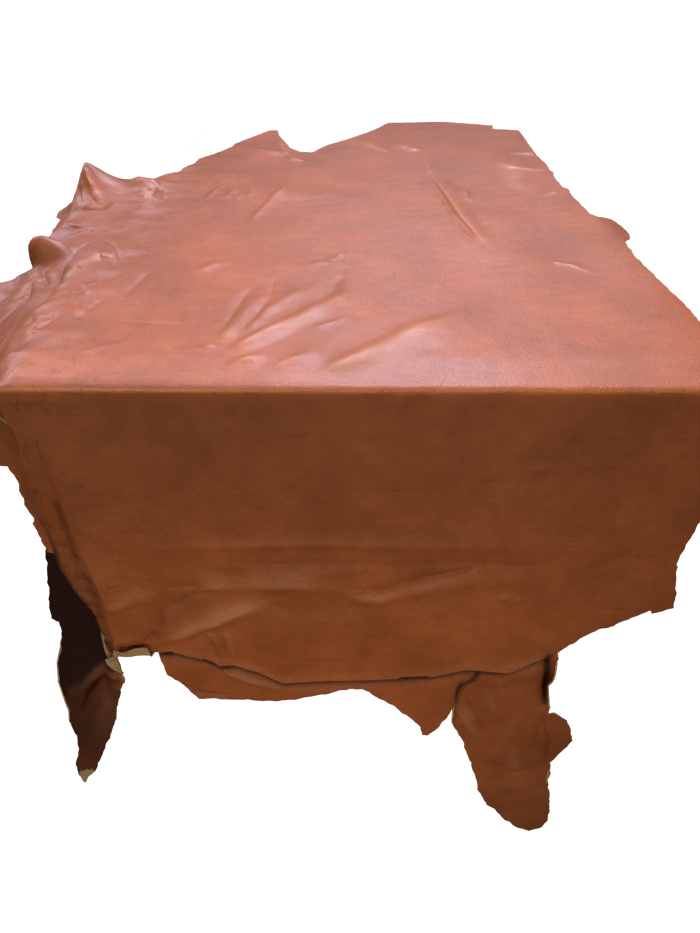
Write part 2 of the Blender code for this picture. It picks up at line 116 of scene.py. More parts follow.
# Unevenness of the leather where nothing folds it. Columns: height, size, seed
TABLE_SWELL = 0.0016
TABLE_WIDE, TABLE_FINE = (0.0011, 0.11, 3), (0.0004, 0.030, 5)
MARGIN_WIDE, MARGIN_FINE = (0.004, 0.055, 7), (0.0012, 0.020, 9)
HANG_WIDE, HANG_FINE = (0.0016, 0.12, 11), (0.0005, 0.028, 13)
# How far the left edge's rim lifts the leather, and the stretch behind the bend over which all relief starts
RIM_LIFT = 0.0015
TOP_FADE = 0.06

# Pointed folds of the belly margin. Columns: across, along, height, width to the left, to the right, and along
PEAKS = ((-497, 806, 81, 50, 76, 92), (-512, 650, 10, 55, 50, 60))
PEAK_TIP, PEAK_STEEPNESS = 0.15, 1.6
# The stiff curl that stands on the belly margin: height, far width, near width, path (across, along)
CURL = (42, 30, 20, (-660, 468), (-552, 474), (-520, 482), (-448, 482))
CURL_FLATNESS = 2.6
# Where the curl's end rolls over and down: across, radius, from and to along
CURL_END = (-502, 14, 448, 540)
CURL_END_TURN, CURL_END_FADE = 2.2, 0.012

# How steeply things rise at the start of their path and fade at its end, as multiples of its length
RIDGE_ENDS, TROUGH_ENDS, CURL_ENDS, LIP_ENDS, PALE_ENDS = (6.0, 1.9), (3.0, 3.0), (7.0, 4.2), (13.0, 6.0), (4.0, 4.0)
# A ridge's width at its start, and how much it gains on the way
RIDGE_WIDTHS = (0.65, 0.75)
# Ridges (+) and troughs (-) of the leather on the table. A ridge starts narrow and crisp, and widens as it fades.
# Columns: height, half width on the left of the path's direction, half width on its right, path (across, along)
TOP_FOLDS = (
    (6, 9, 17, (-148, 78), (-129, 111), (-111, 138), (-87, 171), (-60, 204), (-34, 244), (12, 310)),
    (6.5, 14, 27, (-42, 16), (-12, 48), (18, 81), (51, 114), (86, 150), (124, 184), (200, 232)),
    (3.5, 7, 9, (-143, 32), (-132, 54), (-120, 66), (-102, 84)),
    (2.4, 8, 12, (-98, 34), (-78, 54), (-60, 72), (-36, 106)),
    (3.0, 9, 12, (-161, 108), (-156, 153), (-147, 195), (-132, 249), (-112, 315)),
    (3.0, 8, 11, (-135, 140), (-120, 201), (-96, 252), (-72, 294), (-40, 336)),
    (-3, 8, 12, (-48, 236), (-30, 291), (-18, 348), (-14, 410)),
    (-1.5, 4, 4, (-136, 134), (-126, 204), (-114, 276), (-112, 365)),
    (-2, 5, 6, (-166, 130), (-162, 180), (-156, 237), (-145, 325)),
    (2.6, 8, 12, (-234, 380), (-213, 414), (-188, 436)),
    (2.5, 5, 8, (-180, 90), (-168, 116)),
    (1.6, 3, 6, (-48, 160), (-21, 180), (6, 206)),
    (1.5, 4, 6, (-29, 430), (-12, 480)),
    (1.2, 14, 8, (-84, 390), (-51, 420), (-18, 420), (12, 408)),
    (4, 5, 22, (246, 480), (222, 537), (201, 687), (189, 876), (183, 990), (176, 1215)),
    (-2.5, 4, 4, (243, 484), (214, 560), (194, 700), (180, 900)),
    (4, 9, 24, (170, 1221), (134, 1270), (100, 1330)),
    (4, 9, 24, (90, 1224), (50, 1300), (9, 1392)),
    (3.5, 6, 16, (-141, 1194), (-186, 1212), (-262, 1270)),
    (4, 7, 20, (-95, 1118), (-135, 1146), (-171, 1269), (-195, 1430)),
    (3, 5, 14, (-184, 645), (-156, 792), (-138, 880), (-118, 992)),
    (2, 50, 30, (-160, 786), (-87, 828), (76, 778)),
    (1.5, 3, 3, (-284, 790), (-268, 920)), (1.5, 3, 3, (-250, 800), (-232, 900)),
    (1.2, 3, 3, (-206, 800), (-200, 900)), (1.2, 3, 3, (-228, 790), (-216, 850)),
    (3, 6, 9, (452, 1206), (420, 1209), (382, 1216)),
    (3, 6, 10, (446, 1046), (400, 1040), (362, 1050), (336, 1140)),
    (3, 6, 10, (455, 868), (420, 848), (382, 826)),
    (1.6, 7, 4, (318, 432), (350, 415), (384, 364)),
    (2, 8, 8, (237, 862), (231, 770)),
    (-2, 60, 60, (300, 1000), (330, 700), (350, 300)),
    (3.5, 24, 30, (352, 870), (372, 1060), (394, 1245)),
    (1.2, 4, 6, (-330, 76), (-290, 108), (-262, 128)),
    (-1, 4, 4, (-330, 190), (-270, 180), (-200, 168)),
)
# Folds and creases of the belly margin, in the same columns
MARGIN_FOLDS = (
    (7, 6, 6, (-497, 798), (-492, 774), (-479, 742), (-458, 700)),
    (5, 5, 5, (-503, 796), (-518, 772), (-540, 735)),
    (-4, 4, 4, (-500, 782), (-488, 745), (-472, 716), (-458, 698)),
    (-3, 4, 4, (-512, 778), (-508, 740), (-498, 716)),
    (-5, 5, 5, (-545, 728), (-500, 704), (-460, 694), (-426, 735)),
    (6, 9, 13, (-384, 832), (-412, 846), (-446, 890)),
    (-5, 4, 6, (-382, 822), (-398, 790), (-414, 766)),
    (3.5, 4, 4, (-386, 828), (-384, 775), (-388, 716)),
    (3.5, 4, 4, (-408, 790), (-396, 765), (-390, 722)),
    (-2.5, 3, 3, (-370, 838), (-362, 770), (-372, 700)),
    (-6, 4.5, 6, (-408, 514), (-444, 509), (-456, 482), (-456, 432), (-436, 339), (-432, 285), (-440, 232)),
    (6, 9, 13, (-388, 452), (-399, 420), (-412, 396), (-420, 360), (-420, 305)),
    (-3.5, 4, 4, (-418, 458), (-390, 426), (-354, 390)),
    (-3, 4, 4, (-424, 526), (-392, 492), (-372, 447), (-348, 392)),
    (-2, 4, 5, (-310, 386), (-315, 327), (-324, 272)),
    (-2, 4, 5, (-350, 272), (-357, 219), (-362, 172)),
    (-2.5, 3.5, 3.5, (-394, 312), (-370, 258)),
    (-6, 4, 5, (-506, 410), (-496, 362), (-470, 286)),
    (5, 7, 11, (-484, 352), (-500, 344), (-520, 332), (-552, 326)),
    (2.5, 4, 4, (-470, 612), (-495, 630), (-524, 652)),
    (-3, 4, 4, (-464, 602), (-490, 618), (-522, 634)),
    (2.5, 4, 5, (-464, 604), (-486, 588), (-520, 588)),
    (-2.5, 3.5, 3.5, (-464, 610), (-450, 560), (-438, 514)),
    (-2.5, 3.5, 4, (-382, 200), (-405, 184), (-440, 198)),
    (-3, 3.5, 4, (-401, 118), (-398, 156), (-384, 194)),
    (-4, 4, 4, (-534, 268), (-510, 300), (-490, 324)),
    (-4, 5, 5, (-502, 456), (-482, 402), (-454, 344)),
    (5, 6, 9, (-508, 566), (-476, 514), (-464, 462)),
    (-3, 3.5, 3.5, (-500, 574), (-486, 520), (-474, 470)),
    (3.5, 4, 5, (-517, 150), (-490, 172), (-464, 176)),
    (3, 3.5, 4, (-524, 176), (-500, 196), (-474, 204)),
    (4, 4, 5, (-418, 46), (-405, 62), (-396, 78)),
    (3, 4, 4, (-412, 20), (-398, 36)),
    (5, 12, 12, (-404, 115), (-409, 215)),
    (5, 16, 20, (-396, 750), (-402, 920)),
    (3, 16, 16, (-400, 560), (-470, 640)),
)
# Folds of the hanging panel, leg and shank, towards the front, in the same columns
FRONT_FOLDS = (
    (-5, 5, 6, (-304, -420), (-270, -384), (-258, -326)),
    (4, 14, 8, (-336, -342), (-288, -321), (-244, -312)),
    (9, 13, 7, (-272, -408), (-213, -375), (-165, -351), (-100, -322)),
    (-3, 4, 5, (-264, -352), (-219, -315), (-160, -298)),
    (-2, 4, 4, (-248, -301), (-196, -296)),
    (5.5, 20, 7, (-215, -302), (-81, -291), (20, -299)),
    (-2.8, 4, 4, (-20, -292), (39, -303), (99, -276), (190, -258)),
    (-2, 3, 3, (70, -288), (129, -270), (180, -257)),
    (5, 12, 9, (-10, -312), (39, -316), (110, -292), (200, -276)),
    (-3, 4, 4, (-212, -372), (-195, -402), (-195, -420), (-184, -446)),
    (-3, 4, 4, (-182, -380), (-182, -420), (-202, -448)),
    (3, 4, 4, (-206, -382), (-189, -402), (-188, -432)),
    (3, 6, 7, (-178, -380), (-166, -410), (-172, -446)),
    (6, 9, 5, (-252, -386), (-174, -348), (-72, -312)),
    (2.0, 14, 5, (-280, -236), (-66, -222), (129, -226), (327, -234), (412, -241)),
    (-1.5, 5, 8, (-240, -262), (-60, -256), (140, -252), (330, -262)),
    (1.2, 10, 6, (-200, -262), (-20, -266), (160, -240)),
    (4, 8, 4, (-200, -464), (-135, -491), (-74, -514)),
    (-4, 3.5, 3.5, (-248, -496), (-228, -517), (-178, -523)),
    (-4, 4, 4, (178, -526), (204, -570), (226, -632)),
    (4, 10, 6, (174, -556), (196, -610), (216, -655)),
    (3, 5, 5, (208, -500), (231, -552), (239, -610)),
    (2.5, 5, 5, (226, -488), (249, -548)),
    (-4, 4, 4, (297, -562), (318, -636), (326, -720)),
    (-3, 3, 3, (300, -558), (295, -650), (286, -696)),
    (4, 14, 16, (262, -640), (276, -740), (290, -830)),
    (-3, 7, 7, (214, -688), (262, -716), (318, -706)),
    (9, 7, 8, (-328, -488), (-351, -484), (-375, -492), (-398, -510), (-440, -556)),
    (-6, 4, 4, (-336, -500), (-360, -500), (-384, -516), (-404, -540), (-428, -590)),
    (5, 4, 5, (-332, -512), (-356, -510), (-378, -524)),
    (3, 3, 3, (-394, -640), (-408, -672), (-424, -706)),
    (5, 12, 12, (-372, -540), (-392, -600), (-412, -660)),
    (-3, 4, 4, (-386, -243), (-372, -230), (-358, -223)),
    (-3, 4, 4, (-366, -240), (-372, -296)),
    (-4, 4, 4, (-380, -291), (-357, -299), (-338, -308)),
    (-4, 4, 4, (-380, -312), (-362, -322), (-340, -330)),
    (-4, 4, 4, (-382, -340), (-362, -346), (-340, -349)),
    (-4, 4, 4, (-388, -382), (-366, -374), (-342, -364)),
    (2.5, 8, 5, (196, -314), (222, -318), (248, -318)),
    (2, 3, 3, (223, -104), (242, -109)), (1.5, 2, 2, (256, -56), (266, -57)),
    (6, 3, 3, (-334, -480), (-343, -462), (-354, -440), (-358, -408)),
    (-14, 6, 7, (281, -424), (291, -470), (297, -516), (302, -566)),
)
# The crest of the leg's knee, below which the leg has less painted shade than the pocket above
KNEE = ((-450, -556), (-398, -508), (-375, -490), (-351, -482), (-320, -494))

# The fold at the left of the hanging panel, and the pocket behind it. Columns: drop below the edge, across
FOLD_LINE = ((0, -376), (92, -371), (136, -363), (191, -360), (239, -354), (279, -347), (320, -340),
             (387, -339), (450, -336), (900, -336))
POCKET_LINE = ((0, -395), (150, -388), (207, -384), (279, -385), (320, -374), (367, -357), (393, -352),
               (450, -350), (900, -350))
FOLD_STEP, FOLD_WIDTH = 0.010, 0.006
FOLD_SWELL, FOLD_SWELL_AWAY, FOLD_SWELL_WIDTH = 0.006, 0.014, 0.016
POCKET_DEPTH, POCKET_WIDTH = 0.040, 0.024
# Where the panel laps over the leather behind it. Columns: across, along
LAP_LINE = ((-300, -426), (-283, -428), (-252, -424), (-213, -437), (-192, -450), (-168, -447), (-132, -461),
            (-99, -483), (-33, -476), (72, -470), (117, -466), (168, -451), (231, -461), (279, -432),
            (300, -424))
LAP_STEP = 0.014
LAP_HALF_WIDTH = 0.001
LAP_LIP, LAP_LIP_WIDTH = 0.0035, 0.007
LAP_ENDS, LAP_END_FADE = (-0.285, 0.292), 0.012
# The share of the step that the leather behind the lap makes up again, and over which length
LAP_RETURN, LAP_RETURN_LENGTH = 0.7, 0.035
# The panel's wave, and the shank's middle, distance behind the panel, cupping and sideways shift
PANEL_WAVE, PANEL_WAVES = 0.003, 8.0
SHANK_MIDDLE, SHANK_BACK, SHANK_CUP, SHANK_SHIFT = 0.26, 0.011, 0.9, 0.012

# Edges that roll towards the grain side. Columns: rolled width, radius, turn (degrees), stretch of the outline
LIPS = (
    (24, 3.5, 170, (-279, -428), (-312, -426), (-330, -422), (-338, -430), (-339, -448), (-334, -472)),
    (7, 3, 149, (-438, -592), (-435, -561), (-445, -510), (-443, -479), (-433, -448), (-430, -428)),
    (9, 4, 149, (298, -424), (300, -460), (301, -512), (309, -573)),
)
# Places where the grain side is bare flesh. Columns: half width, path
BARE = (
    (9, (-452, -752), (-443, -722), (-430, -716)),
    (5, (334, -720), (334, -748)),
    (5, (150, -572), (142, -586)),
    (4, (-356, -406), (-353, -436), (-343, -458), (-333, -476)),
)

# Painted shade where the leather folds under, lies in a slit or turns from the light. Columns: amount, half width,
# path
PAINTED_SHADES = (
    (0.95, 7, (285, -430), (295, -490), (300, -545)),
    (0.85, 16, (-436, -545), (-424, -600), (-430, -650)),
    (0.80, 7, (-334, -500), (-346, -545), (-366, -610)),
    (0.60, 5, (-366, -160), (-364, -240), (-354, -310), (-350, -370)),
    (0.90, 5, (-300, -414), (-325, -410), (-331, -426)),
    (0.95, 6, (-347, -418), (-343, -436)),
    (0.95, 6, (190, -466), (177, -514), (162, -566)),
    (0.45, 26, (-600, 456), (-480, 462)),
    (0.30, 22, (470, 548), (478, 610), (472, 668)),
)
# Painted shade over the pocket, the leg, the leg's left edge, the strip beside the fold (more lower down) and the
# upper and right panel, less low on the leg; the left margin is darker
POCKET_SHADE, LEG_SHADE, STRIP_SHADE, PANEL_SHADE, MARGIN_DARKENING = 1.0, 0.64, 0.22, 0.17, 0.12
LEG_EDGE_SHADE, LEG_LOW_SHADE_LESS, STRIP_LOW_SHADE, PANEL_RIGHT_SHADE = 0.22, 0.18, 0.24, 0.9
# Painted shadow below the lap: amount, length at full depth, length of the fade
LAP_SHADOW, LAP_SHADOW_LENGTH, LAP_SHADOW_FADE = 0.92, 0.014, 0.005
# Painted highlight along the left half of the bend, with a line of painted shade behind it: amount, place along the
# hide, half width
BEND_HIGHLIGHT = (0.85, -0.0008, 0.0018)
BEND_SHADE_LINE = (0.30, 0.0055, 0.0036)

# Where the front is paler. Columns: amount, half width, path
PALE = (
    (0.42, 11, (182, -522), (194, -566), (214, -604)),
    (0.34, 7, (246, -640), (262, -590), (280, -548)),
    (0.30, 9, (232, -680), (252, -620)),
    (0.30, 16, (-220, -330), (-60, -352), (60, -340)),
)

# Distances between points of the flat hide: along its rim, and in the rows that fill it
OUTLINE_SPACING = 0.006
SPACING_FINE, SPACING, SPACING_NEAR, SPACING_FAR = 0.004, 0.006, 0.009, 0.0125
# Every other row starts this much later, but not by the bend
ROW_SHIFT = 0.003
BEND_REACH = 0.024
# How far apart the rows are. Columns: up to where along the hide, distance
ROW_GAPS = ((-0.2, 0.005), (-BEND_REACH, 0.0056), (-0.012, 0.0025), (0.012, 0.0016), (BEND_REACH, 0.0025),
            (0.05, 0.006), (0.97, 0.0078), (math.inf, 0.011))
# Rows of points along the lap and the fold line, at these distances from them
LAP_ROWS = (-0.020, -0.0165, -0.013, -0.005, -LAP_HALF_WIDTH, LAP_HALF_WIDTH, 0.0035, 0.0070)
FOLD_LINE_ROWS = (-0.006, -0.003, 0.0, 0.003, 0.006)
# Folds up to this half width (mm) get rows of their own too, at these shares of it to each side
NARROW_FOLD = 9
FOLD_ROWS = (-1.3, -0.6, 0.0, 0.6, 1.3)
# Least distances: between points of such rows, from them to the rim, from other points to the rim and to them
ROWS_APART = 0.0020
ROWS_TO_RIM = 0.0016
GRID_TO_RIM = 0.0030
GRID_TO_ROWS = 0.0035

# Colours of the leather: ground, mottle, streaks and pores; the pale of crests, also used as painted highlight;
# painted shade
GROUND_DARK, GROUND_LIGHT = (0.275, 0.070, 0.019), (0.365, 0.097, 0.029)
MOTTLE, STREAK, PORE = (0.190, 0.048, 0.013), (0.160, 0.040, 0.012), (0.10, 0.022, 0.006)
PALE_AND_HIGHLIGHT, TROUGH_SHADE, CREASE_SHADE = (0.50, 0.215, 0.110), (0.120, 0.032, 0.012), (0.110, 0.028, 0.010)
PAINTED_SHADE_COLOUR = (0.012, 0.002, 0.001)
# How high a ridge is when its crest is fully pale, and how deep a trough is when its painted shade is full
FULL_PALE_AND_SHADE = 0.009

# The camera: place from ORIGIN, degrees below level, and in pixels its focal length and the frame's height
CAMERA_PLACE, CAMERA_DOWN = (0.0, -0.787, 0.420), 33.6
FOCAL_LENGTH, FRAME_HEIGHT = 780.0, 933.0
# The flat floor's radius, the radius of its curve into the wall, and the wall's heights
FLOOR_RADIUS, COVE_RADIUS, WALL_HEIGHTS = 5.0, 4.0, (9.0, 14.0)
COVE_SIDES, COVE_STEPS = 72, 12
DAYLIGHT = (0.73, 0.76, 1.0)
ON_TABLE = (0.0, 0.6, 0.0)
AT_EDGE = (0.0, 0.0, 0.0)
# Lamps. Columns: name, place and aim from ORIGIN, size, watts, colour, whether it shows as a reflection
LAMPS = (
    ("window", (0.40, 4.2, 3.3), ON_TABLE, (1.8, 1.6), 80.0, DAYLIGHT, True),
    ("sky", (-0.8, 4.6, 3.9), ON_TABLE, (9.0, 3.0), 178.0, DAYLIGHT, True),
    ("left sky", (-3.4, 3.0, 2.5), AT_EDGE, (3.2, 2.6), 60.0, DAYLIGHT, True),
    ("ceiling", (0.0, 0.30, 2.2), (0.0, 0.30, 0.0), (3.0, 0.9), 76.0, (1.0, 0.93, 0.86), False),
    ("strip", (0.0, -1.5, 2.2), AT_EDGE, (3.0, 0.12), 24.0, (1.0, 0.95, 0.80), True),
    ("back strip", (1.6, 1.4, 2.6), AT_EDGE, (2.6, 0.12), 9.0, (1.0, 0.94, 0.94), True),
    ("front fill", (-0.05, -0.78, -0.45), (0.0, 0.0, -0.43), (1.5, 0.25), 4.4, (1.0, 0.93, 0.68), False),
)
WORLD_COLOUR, WORLD_STRENGTH = (1.0, 0.88, 0.76, 1.0), 0.085


# ---- the shape ----


def smooth(t):
    """A soft step: 0 up to 0, 1 from 1 on."""
    t = np.clip(t, 0.0, 1.0)
    return t * t * (3.0 - 2.0 * t)


def bell(t):
    """1 at 0, fading to nothing on both sides."""
    return np.exp(-t ** 2)


def faded(along, ends):
    """How much of a thing is there, from 0 at both ends of its path to 1."""
    return smooth(along * ends[0]) * smooth((1.0 - along) * ends[1])


def read(table, column, at):
    """Reads a column of a table at values of its first column. The table is in millimetres, the result in metres."""
    rows = np.array(table, float) * MM
    return np.interp(at, rows[:, 0], rows[:, column])


def beside(path, u, v):
    """The distance from a path, positive on its left, and the share of the way along it."""
    path = np.array(path, float) * MM
    length = np.linalg.norm(np.diff(path, axis=0), axis=1)
    done = np.concatenate(([0.0], np.cumsum(length)))
    best = np.full(u.shape, 1e9)
    side = np.zeros(u.shape)
    share = np.zeros(u.shape)
    for index, (start, end) in enumerate(zip(path[:-1], path[1:])):
        way = (end - start) / length[index]
        ahead = (u - start[0]) * way[0] + (v - start[1]) * way[1]
        left = (v - start[1]) * way[0] - (u - start[0]) * way[1]
        t = np.clip(ahead, 0.0, length[index])
        away = np.hypot(ahead - t, left)
        nearer = away < best
        best = np.where(nearer, away, best)
        side = np.where(nearer, np.where(left < 0.0, -1.0, 1.0), side)
        share = np.where(nearer, (done[index] + t) / done[-1], share)
    return best * side, share


def folds(table, u, v):
    """The heights of ridges and troughs, each with its own two flanks, uneven along its way."""
    height = np.zeros(u.shape)
    for index, (high, left_width, right_width, *path) in enumerate(table):
        across, along = beside(path, u, v)
        flank = np.where(across > 0.0, left_width, right_width) * MM
        uneven = 1.0 + 0.22 * np.sin(9.0 * along + 1.7 * index) + 0.12 * np.sin(23.0 * along + index)
        if high > 0:
            flank = flank * (RIDGE_WIDTHS[0] + RIDGE_WIDTHS[1] * along)
        ends = faded(along, RIDGE_ENDS if high > 0 else TROUGH_ENDS)
        height += high * MM * uneven * ends * bell(across / flank)
    return height


def peaks(u, v):
    """The margin's pointed folds, as cones with a rounded tip and hollow flanks, and its flat-topped curl."""
    height = np.zeros(u.shape)
    for row in PEAKS:
        u0, v0, high, left, right, half_v = (value * MM for value in row)
        away = np.hypot((u - u0) / np.where(u < u0, left, right), (v - v0) / half_v)
        height += high * np.exp(-PEAK_STEEPNESS * (np.hypot(away, PEAK_TIP) - PEAK_TIP))
    high, far_width, near_width, *path = CURL
    across, along = beside(path, u, v)
    flank = np.where(across > 0.0, far_width, near_width) * MM
    return height + high * MM * faded(along, CURL_ENDS) * np.exp(-np.abs(across / flank) ** CURL_FLATNESS)


def lap_ends(u):
    return smooth((u - LAP_ENDS[0]) / LAP_END_FADE) * smooth((LAP_ENDS[1] - u) / LAP_END_FADE)


def bend_line(u, v, amount, at, half_width):
    """A line along the left half of the bend, for its painted highlight and its painted shade."""
    return amount * smooth((0.04 - u) / 0.30) * bell((v - at) / half_width)


def painted_shade_of(u, v):
    """How dark the leather is painted: painted shade along folds and slits, in the pocket, on the leg and the upper
    and right panel, behind the bend and below the lap, and a darker left margin. It is as dark as the deepest of
    these.
    """
    drop = -v
    # Painted shade along the listed folds, slits and turned-away places
    shades = [amount * bell(beside(path, u, v)[0] / (width * MM)) for amount, width, *path in PAINTED_SHADES]
    above_knee = smooth(beside(KNEE, u, v)[0] / 0.014 + 0.4)
    behind_fold = smooth((read(FOLD_LINE, 1, drop) - u) / 0.010)
    in_pocket = smooth((read(POCKET_LINE, 1, drop) - u) / 0.012 + 0.5) * smooth((drop - 0.19) / 0.07)
    # Painted shade deep in the pocket, above the knee
    shades.append(POCKET_SHADE * in_pocket * above_knee)
    # Painted shade on the leg behind the fold, most at its left edge and less low down, and on the strip beside the
    # fold
    leg = LEG_SHADE + LEG_EDGE_SHADE * smooth((-0.36 - u) / 0.05) - LEG_LOW_SHADE_LESS * smooth((drop - 0.60) / 0.10)
    shades.append(leg * behind_fold * smooth((drop - 0.44) / 0.03))
    strip = STRIP_SHADE * smooth((drop - 0.10) / 0.10) + STRIP_LOW_SHADE * smooth((drop - 0.20) / 0.16)
    shades.append(strip * behind_fold)
    # Painted shade over the upper and right panel
    upper, right = smooth((0.33 - drop) / 0.22), PANEL_RIGHT_SHADE * smooth((u - 0.18) / 0.18)
    shades.append(PANEL_SHADE * smooth(drop / 0.02) * np.maximum(upper, right))
    # The left margin is darker
    shades.append(MARGIN_DARKENING * smooth((-0.20 - u) / 0.14) * smooth((v - 0.12) / 0.16))
    # Painted shade line behind the bend's painted highlight
    shades.append(bend_line(u, v, *BEND_SHADE_LINE))
    # Painted shadow below the lap
    below = read(LAP_LINE, 1, u) - v
    fade = bell(np.maximum(below - LAP_SHADOW_LENGTH, 0.0) / LAP_SHADOW_FADE)
    shades.append(LAP_SHADOW * lap_ends(u) * smooth(below / 0.0015 + 0.5) * fade)
    return np.maximum.reduce([np.zeros(u.shape), *shades])


def pale_and_painted_light_of(u, v):
    """How pale the leather is: pale where ridges stretch it and in the listed places, with a painted highlight on
    the bend (+), painted shade in troughs (-).
    """
    ridges = folds(TOP_FOLDS, u, v) * (v > 0) + folds(MARGIN_FOLDS, u, v) * (v > 0) + folds(FRONT_FOLDS, u, v)
    pale = bend_line(u, v, *BEND_HIGHLIGHT)
    for amount, width, *path in PALE:
        across, along = beside(path, u, v)
        pale = np.maximum(pale, amount * faded(along, PALE_ENDS) * bell(across / (width * MM)))
    return np.clip(ridges / FULL_PALE_AND_SHADE + pale, -1.0, 1.0)


def ripple(u, v, size, seed, waves=6):
    """An even, soft unevenness between -1 and 1, with swells about one size across."""
    rng = np.random.default_rng(seed)
    total = np.zeros(u.shape)
    for _ in range(waves):
        angle, start = rng.uniform(0.0, 2.0 * math.pi, 2)
        wave = 2.0 * math.pi / (size * rng.uniform(0.8, 2.2))
        warp = 0.9 * np.sin(0.6 * wave * (u * math.sin(angle) - v * math.cos(angle)) + 2.0 * start)
        total += np.sin(wave * (u * math.cos(angle) + v * math.sin(angle)) + start + warp)
    return total / waves


def raised(u, v, row):
    """A ripple from a row of height, size and seed, that swells up from zero."""
    height, size, seed = row
    return height * (1.0 + ripple(u, v, size, seed))


def top_relief(u, v):
    """How far the leather lifts off the table. On the table it is never below zero."""
    in_margin = smooth((LEFT_BEND + 0.10 - u) / 0.10)
    lift = TABLE_SWELL * (1.0 + np.sin(9.0 * u + 4.0 * v + 1.0) * np.sin(7.0 * v - 3.0 * u))
    lift += raised(u, v, TABLE_WIDE) + raised(u, v, TABLE_FINE)
    lift += RIM_LIFT * smooth((LEFT_BEND + 0.05 - u) / 0.04)
    lift += in_margin * (raised(u, v, MARGIN_WIDE) + MARGIN_FINE[0] * ripple(u, v, *MARGIN_FINE[1:]))
    lift = np.maximum(lift + folds(TOP_FOLDS, u, v) + peaks(u, v), 0.0)
    creased = lift + folds(MARGIN_FOLDS, u, v)
    past_edge = u < LEFT_BEND + 0.01
    return np.where(past_edge, creased, np.maximum(creased, 0.0)) * smooth((v - QUARTER) / TOP_FADE)


def front_relief(u, v):
    """How far the hanging leather stands forward of the panel's plane, and the sideways shift of the shank."""
    drop = -v
    hang = smooth((drop - 0.05) / 0.30)
    fold_line = read(FOLD_LINE, 1, drop)
    past_fold = smooth((fold_line - u) / FOLD_WIDTH + 0.5)
    past_pocket = smooth((read(POCKET_LINE, 1, drop) - u) / POCKET_WIDTH)
    relief = FOLD_SWELL * hang * bell((u - fold_line - FOLD_SWELL_AWAY) / FOLD_SWELL_WIDTH)
    relief -= hang * (FOLD_STEP * past_fold + POCKET_DEPTH * past_pocket * smooth((0.60 - drop) / 0.20))
    lap = read(LAP_LINE, 1, u)
    under = smooth((lap - v) / (2 * LAP_HALF_WIDTH) + 0.5)
    relief += LAP_LIP * (1.0 - under) * bell((v - lap) / LAP_LIP_WIDTH) * lap_ends(u)
    relief -= LAP_STEP * under * (1.0 - LAP_RETURN * smooth((lap - v) / LAP_RETURN_LENGTH)) * lap_ends(u)
    relief += folds(FRONT_FOLDS, u, v)
    relief += PANEL_WAVE * hang * np.sin(PANEL_WAVES * u + 1.0)
    wide, fine = ripple(u, 1.8 * v, *HANG_WIDE[1:]), ripple(0.6 * u, v, *HANG_FINE[1:])
    relief += HANG_WIDE[0] * hang * wide + HANG_FINE[0] * fine
    shank = smooth((u - 0.155) / 0.02) * smooth((drop - 0.47) / 0.05)
    relief -= shank * (SHANK_BACK + SHANK_CUP * (u - SHANK_MIDDLE) ** 2)
    shift = -SHANK_SHIFT * shank * smooth((0.30 - u) / 0.10) * smooth((0.65 - drop) / 0.08)
    return relief, shift


def roll(u, v):
    """Rolls the marked edges towards the grain side. Returns new flat places and the lift of each point."""
    lift = np.zeros(u.shape)
    new_u, new_v = u.copy(), v.copy()
    for _, radius, most, *path in LIPS:
        radius, most = radius * MM, math.radians(most)
        across, along = beside(path, u, v)
        # The outline runs clockwise, so the leather is on the right of the path and the roll starts inside
        beyond = np.maximum(across + radius, 0.0) * faded(along, LIP_ENDS)
        step = 1e-4
        grad_u = (beside(path, u + step, v)[0] - across) / step
        grad_v = (beside(path, u, v + step)[0] - across) / step
        turn = np.minimum(beyond / radius, most)
        rest = np.maximum(beyond - most * radius, 0.0)
        inward = radius * np.sin(turn) + rest * math.cos(most) - beyond
        new_u += grad_u * inward
        new_v += grad_v * inward
        lift += radius * (1.0 - np.cos(turn)) + rest * math.sin(most)
    return new_u, new_v, lift


